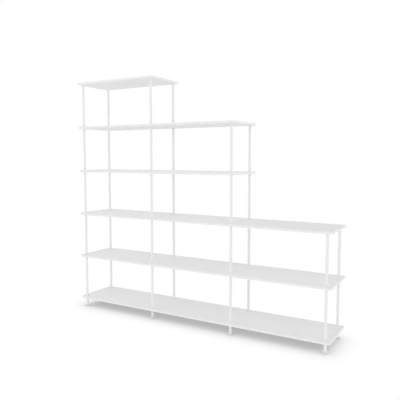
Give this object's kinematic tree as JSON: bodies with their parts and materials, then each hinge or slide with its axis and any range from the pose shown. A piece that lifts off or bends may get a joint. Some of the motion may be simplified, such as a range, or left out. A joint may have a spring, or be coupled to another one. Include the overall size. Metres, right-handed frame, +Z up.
{
  "type": "staircase bookshelf",
  "caption": "Open shelving unit of thin round-cornered panels on slim round poles, stepping down in height from one end to the other, on levelling feet.",
  "frame": {"origin": "on the floor, under the middle of the bottom shelf", "axes": "+X along the shelves towards the low end, +Y from front to back, +Z up"},
  "size_m": [2.056, 0.36, 1.8145],
  "materials": {
    "shelf_lacquer": "white satin lacquer on fibreboard, no grain showing",
    "pole_paint": "white powder coat with a fine orange peel",
    "pad_plastic": "grey nylon, slightly scuffed",
    "fixing_steel": "bright zinc-plated steel"
  },
  "bodies": {
    "frame": {"bottom_shelf": "shelf_lacquer", "second_shelf": "shelf_lacquer", "third_shelf": "shelf_lacquer", "fourth_shelf": "shelf_lacquer", "fifth_shelf": "shelf_lacquer", "top_shelf": "shelf_lacquer", "pole_1_front_1": "pole_paint", "pole_1_front_2": "pole_paint", "pole_1_front_3": "pole_paint", "pole_1_front_4": "pole_paint", "pole_1_front_5": "pole_paint", "pole_1_back_1": "pole_paint", "pole_1_back_2": "pole_paint", "pole_1_back_3": "pole_paint", "pole_1_back_4": "pole_paint", "pole_1_back_5": "pole_paint", "pole_2_front_1": "pole_paint", "pole_2_front_2": "pole_paint", "pole_2_front_3": "pole_paint", "pole_2_front_4": "pole_paint", "pole_2_front_5": "pole_paint", "pole_2_back_1": "pole_paint", "pole_2_back_2": "pole_paint", "pole_2_back_3": "pole_paint", "pole_2_back_4": "pole_paint", "pole_2_back_5": "pole_paint", "pole_3_front_1": "pole_paint", "pole_3_front_2": "pole_paint", "pole_3_front_3": "pole_paint", "pole_3_front_4": "pole_paint", "pole_3_back_1": "pole_paint", "pole_3_back_2": "pole_paint", "pole_3_back_3": "pole_paint", "pole_3_back_4": "pole_paint", "pole_4_front_1": "pole_paint", "pole_4_front_2": "pole_paint", "pole_4_back_1": "pole_paint", "pole_4_back_2": "pole_paint", "pole_plugs": "fixing_steel", "joint_studs": "fixing_steel", "upper_collars": "pole_paint", "lower_collars": "pole_paint", "top_cap_screws": "pole_paint", "foot_sleeves": "pole_paint"},
    "pad_1_front": {"foot_pad_1_front": "pad_plastic"},
    "foot_1_front": {"levelling_foot_1_front": "pole_paint"},
    "pad_1_back": {"foot_pad_1_back": "pad_plastic"},
    "foot_1_back": {"levelling_foot_1_back": "pole_paint"},
    "pad_2_front": {"foot_pad_2_front": "pad_plastic"},
    "foot_2_front": {"levelling_foot_2_front": "pole_paint"},
    "pad_2_back": {"foot_pad_2_back": "pad_plastic"},
    "foot_2_back": {"levelling_foot_2_back": "pole_paint"},
    "pad_3_front": {"foot_pad_3_front": "pad_plastic"},
    "foot_3_front": {"levelling_foot_3_front": "pole_paint"},
    "pad_3_back": {"foot_pad_3_back": "pad_plastic"},
    "foot_3_back": {"levelling_foot_3_back": "pole_paint"},
    "pad_4_front": {"foot_pad_4_front": "pad_plastic"},
    "foot_4_front": {"levelling_foot_4_front": "pole_paint"},
    "pad_4_back": {"foot_pad_4_back": "pad_plastic"},
    "foot_4_back": {"levelling_foot_4_back": "pole_paint"}
  },
  "joints": [
    {"name": "level_1_front", "type": "slide", "parent": "frame", "child": "pad_1_front", "axis": [0, 0, -1], "range_m": [0, 0.012]},
    {"name": "turn_1_front", "type": "hinge", "parent": "pad_1_front", "child": "foot_1_front", "pos_m": [-0.99, -0.15, 0.005], "axis": [0, 0, -1], "range_deg": [0, 2880]},
    {"name": "level_1_back", "type": "slide", "parent": "frame", "child": "pad_1_back", "axis": [0, 0, -1], "range_m": [0, 0.012]},
    {"name": "turn_1_back", "type": "hinge", "parent": "pad_1_back", "child": "foot_1_back", "pos_m": [-0.99, 0.15, 0.005], "axis": [0, 0, -1], "range_deg": [0, 2880]},
    {"name": "level_2_front", "type": "slide", "parent": "frame", "child": "pad_2_front", "axis": [0, 0, -1], "range_m": [0, 0.012]},
    {"name": "turn_2_front", "type": "hinge", "parent": "pad_2_front", "child": "foot_2_front", "pos_m": [-0.33, -0.15, 0.005], "axis": [0, 0, -1], "range_deg": [0, 2880]},
    {"name": "level_2_back", "type": "slide", "parent": "frame", "child": "pad_2_back", "axis": [0, 0, -1], "range_m": [0, 0.012]},
    {"name": "turn_2_back", "type": "hinge", "parent": "pad_2_back", "child": "foot_2_back", "pos_m": [-0.33, 0.15, 0.005], "axis": [0, 0, -1], "range_deg": [0, 2880]},
    {"name": "level_3_front", "type": "slide", "parent": "frame", "child": "pad_3_front", "axis": [0, 0, -1], "range_m": [0, 0.012]},
    {"name": "turn_3_front", "type": "hinge", "parent": "pad_3_front", "child": "foot_3_front", "pos_m": [0.33, -0.15, 0.005], "axis": [0, 0, -1], "range_deg": [0, 2880]},
    {"name": "level_3_back", "type": "slide", "parent": "frame", "child": "pad_3_back", "axis": [0, 0, -1], "range_m": [0, 0.012]},
    {"name": "turn_3_back", "type": "hinge", "parent": "pad_3_back", "child": "foot_3_back", "pos_m": [0.33, 0.15, 0.005], "axis": [0, 0, -1], "range_deg": [0, 2880]},
    {"name": "level_4_front", "type": "slide", "parent": "frame", "child": "pad_4_front", "axis": [0, 0, -1], "range_m": [0, 0.012]},
    {"name": "turn_4_front", "type": "hinge", "parent": "pad_4_front", "child": "foot_4_front", "pos_m": [0.99, -0.15, 0.005], "axis": [0, 0, -1], "range_deg": [0, 2880]},
    {"name": "level_4_back", "type": "slide", "parent": "frame", "child": "pad_4_back", "axis": [0, 0, -1], "range_m": [0, 0.012]},
    {"name": "turn_4_back", "type": "hinge", "parent": "pad_4_back", "child": "foot_4_back", "pos_m": [0.99, 0.15, 0.005], "axis": [0, 0, -1], "range_deg": [0, 2880]}
  ],
  "couplings": [
    {"joint": "level_1_front", "follows": "turn_1_front", "m_per_rad": 0.00023873},
    {"joint": "level_1_back", "follows": "turn_1_back", "m_per_rad": 0.00023873},
    {"joint": "level_2_front", "follows": "turn_2_front", "m_per_rad": 0.00023873},
    {"joint": "level_2_back", "follows": "turn_2_back", "m_per_rad": 0.00023873},
    {"joint": "level_3_front", "follows": "turn_3_front", "m_per_rad": 0.00023873},
    {"joint": "level_3_back", "follows": "turn_3_back", "m_per_rad": 0.00023873},
    {"joint": "level_4_front", "follows": "turn_4_front", "m_per_rad": 0.00023873},
    {"joint": "level_4_back", "follows": "turn_4_back", "m_per_rad": 0.00023873}
  ]
}
